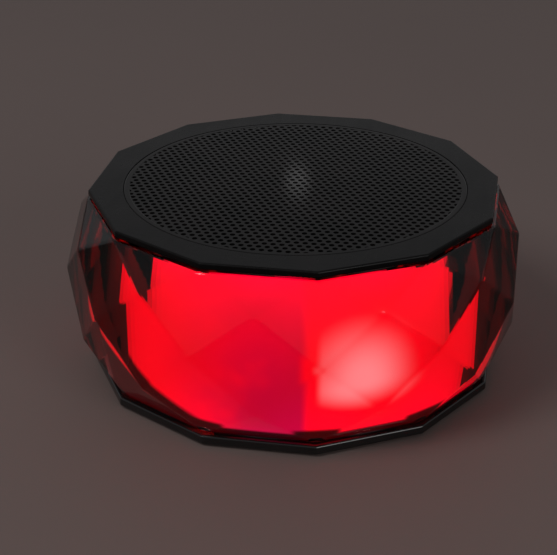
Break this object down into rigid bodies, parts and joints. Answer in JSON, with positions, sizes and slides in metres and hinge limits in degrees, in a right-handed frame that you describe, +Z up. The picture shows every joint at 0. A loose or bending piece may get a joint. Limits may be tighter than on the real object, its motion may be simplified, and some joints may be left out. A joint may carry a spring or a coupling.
{
  "type": "faceted light-up speaker",
  "caption": "Low faceted clear ring lit red from inside, with a black perforated top over an upward loudspeaker, a thin black base and a rear control panel; table-top wireless speaker.",
  "frame": {"origin": "centre of the underside, on the table that the feet stand on", "axes": "+Z up through the driver's axis, control panel at the back towards +Y"},
  "size_m": [0.116, 0.116, 0.049],
  "materials": {
    "clear_acrylic": "polished clear acrylic",
    "black_gloss": "gloss black moulding",
    "black_satin": "satin black moulding",
    "grille_black": "black powder coat",
    "black_rubber": "matt black rubber",
    "glow_sleeve": "frosted, lit red from behind",
    "white_moulding": "matt white moulding",
    "screw_steel": "zinc plated",
    "frame_steel": "black coated pressed steel",
    "plated_steel": "plated steel",
    "ferrite": "dark ferrite",
    "cone_paper": "black pressed paper",
    "coil_copper": "enamelled copper winding",
    "spider_cloth": "treated cloth",
    "board_green": "green solder mask",
    "chip_black": "moulded black",
    "strip_white": "white flexible circuit",
    "light_package": "clear filled package, lit",
    "battery_wrap": "blue film wrap",
    "foam_pad": "dark foam tape",
    "wire_red": "red insulation",
    "button_grey": "dark grey satin",
    "lens_clear": "clear light pipe"
  },
  "bodies": {
    "housing": {"crystal_shell": "clear_acrylic", "upper_seal": "black_rubber", "lower_seal": "black_rubber", "light_sleeve": "glow_sleeve", "base_tray": "black_gloss", "rubber_feet": "black_rubber", "base_screws": "screw_steel", "inner_housing": "white_moulding", "top_bezel": "black_gloss", "baffle_screws": "screw_steel", "speaker_grille": "grille_black", "driver_frame": "frame_steel", "driver_gasket": "black_rubber", "driver_screws": "screw_steel", "cone_surround": "black_rubber", "spider": "spider_cloth", "pole_yoke": "plated_steel", "ring_magnet": "ferrite", "top_plate": "plated_steel", "terminal_strip": "board_green", "speaker_wires": "wire_red", "light_strip": "strip_white", "light_packages": "light_package", "main_board": "board_green", "board_screws": "screw_steel", "board_components": "chip_black", "battery_cell": "battery_wrap", "battery_pad": "foam_pad", "battery_wires": "wire_red", "control_panel": "black_satin", "panel_screws": "screw_steel", "button_board": "board_green", "button_switches": "chip_black", "board_ribbon": "strip_white", "microphone": "plated_steel", "microphone_boot": "black_rubber", "status_lens": "lens_clear", "charging_socket": "plated_steel", "audio_socket": "chip_black", "power_switch": "plated_steel"},
    "cone_assembly": {"speaker_cone": "cone_paper", "dust_cap": "black_gloss", "voice_coil": "coil_copper"},
    "power_knob": {"power_knob": "button_grey"},
    "minus_key": {"minus_button": "button_grey", "minus_plunger": "chip_black"},
    "play_key": {"play_button": "button_grey", "play_plunger": "chip_black"},
    "plus_key": {"plus_button": "button_grey", "plus_plunger": "chip_black"},
    "light_key": {"light_button": "button_grey", "light_plunger": "chip_black"}
  },
  "joints": [
    {"name": "minus_press", "type": "slide", "parent": "housing", "child": "minus_key", "axis": [0, -1, 0], "range_m": [0, 0.0005], "stiffness_N_per_m": 3000},
    {"name": "play_press", "type": "slide", "parent": "housing", "child": "play_key", "axis": [0, -1, 0], "range_m": [0, 0.0005], "stiffness_N_per_m": 3000},
    {"name": "plus_press", "type": "slide", "parent": "housing", "child": "plus_key", "axis": [0, -1, 0], "range_m": [0, 0.0005], "stiffness_N_per_m": 3000},
    {"name": "light_press", "type": "slide", "parent": "housing", "child": "light_key", "axis": [0, -1, 0], "range_m": [0, 0.0005], "stiffness_N_per_m": 3000},
    {"name": "power_slide", "type": "slide", "parent": "housing", "child": "power_knob", "axis": [-1, 0, 0], "range_m": [0, 0.002]},
    {"name": "cone_travel", "type": "slide", "parent": "housing", "child": "cone_assembly", "axis": [0, 0, 1], "range_m": [-0.0015, 0.0015], "stiffness_N_per_m": 1600, "deforming": ["cone_surround", "spider"]}
  ]
}
